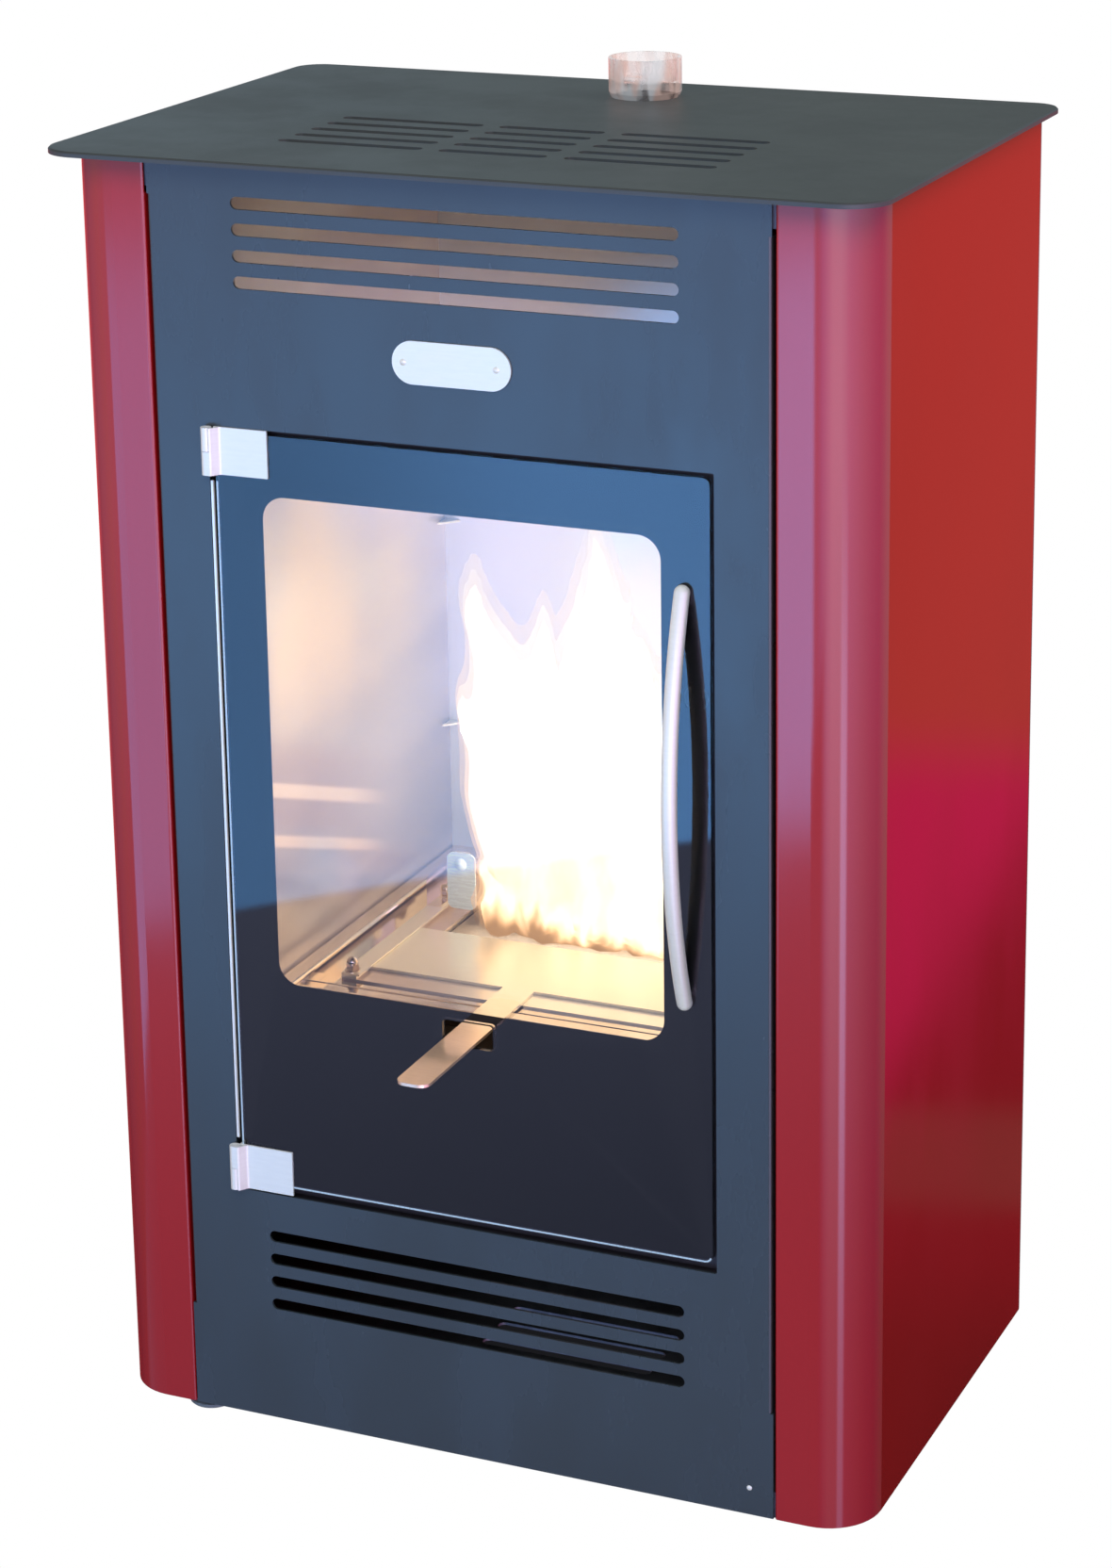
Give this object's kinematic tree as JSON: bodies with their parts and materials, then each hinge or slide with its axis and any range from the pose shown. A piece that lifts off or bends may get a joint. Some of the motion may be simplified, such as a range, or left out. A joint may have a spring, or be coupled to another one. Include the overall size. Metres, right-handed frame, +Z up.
{
  "type": "bioethanol stove",
  "caption": "Free-standing bioethanol stove: red curved side casings, slate front, hinged glass door, burner with sliding regulator and latch, vented top plate.",
  "frame": {"origin": "on the floor, under the middle of the bounding box", "axes": "+X to the right seen from the front, +Y from the front to the back, +Z up"},
  "size_m": [0.614, 0.475, 0.984],
  "materials": {
    "casing_red": "gloss enamel",
    "panel_slate": "fine matt powder coat",
    "plate_dark": "fine matt powder coat",
    "frame_dark": "matt black",
    "zinc": "galvanised",
    "stainless": "satin",
    "polished": "polished stainless",
    "glass": "clear",
    "bowl_glass": "clear",
    "enamel": "black ceramic print",
    "seal": "matt",
    "wool": "ceramic fibre",
    "foot": "matt",
    "magnet": "matt"
  },
  "bodies": {
    "cabinet": {"badge_plate": "stainless", "badge_rivets": "stainless", "base_pan": "zinc", "burner_lid": "stainless", "burner_tank": "stainless", "burner_wool": "wool", "chamber_back": "polished", "chamber_clips": "stainless", "chamber_floor": "polished", "chamber_side_left": "polished", "chamber_side_right": "polished", "chamber_stays": "zinc", "corner_post_front_left": "zinc", "corner_post_front_right": "zinc", "corner_post_rear_left": "zinc", "corner_post_rear_right": "zinc", "dome_nuts": "stainless", "door_frame": "frame_dark", "door_seal": "seal", "foot_front_left": "foot", "foot_front_right": "foot", "foot_rear_left": "foot", "foot_rear_right": "foot", "front_bar": "polished", "front_panel": "panel_slate", "front_rail": "polished", "hinge_bracket_lower": "stainless", "hinge_bracket_upper": "stainless", "hinge_pins": "stainless", "latch_bracket": "stainless", "latch_screw": "stainless", "magnetic_catch": "magnet", "rear_panel": "zinc", "rear_rail": "polished", "side_casing_left": "casing_red", "side_casing_right": "casing_red", "side_rail_left": "polished", "side_rail_right": "polished", "slide_guide_left": "stainless", "slide_guide_right": "stainless", "top_frame": "zinc", "top_plate": "plate_dark"},
    "door": {"door_glass": "glass", "door_enamel": "enamel", "hinge_clamp_upper": "stainless", "hinge_clamp_lower": "stainless", "door_handle": "stainless", "handle_washers": "seal", "handle_screws": "stainless", "strike_disc": "stainless"},
    "regulator": {"regulator_slide": "stainless"},
    "latch": {"latch_plate": "stainless"},
    "bowl": {"scent_bowl": "bowl_glass"}
  },
  "joints": [
    {"name": "door_hinge", "type": "hinge", "parent": "cabinet", "child": "door", "pos_m": [-0.1875, -0.1607, 0.4775], "axis": [0, 0, -1], "range_deg": [0, 110]},
    {"name": "regulator_slide", "type": "slide", "parent": "cabinet", "child": "regulator", "axis": [0, 1, 0], "range_m": [0, 0.071]},
    {"name": "latch_pivot", "type": "hinge", "parent": "cabinet", "child": "latch", "pos_m": [-0.1085, 0.0672, 0.37407], "axis": [0, 1, 0], "range_deg": [0, 90]},
    {"name": "bowl_lift", "type": "slide", "parent": "cabinet", "child": "bowl", "axis": [0, 0, 1], "range_m": [0, 0.08]}
  ]
}
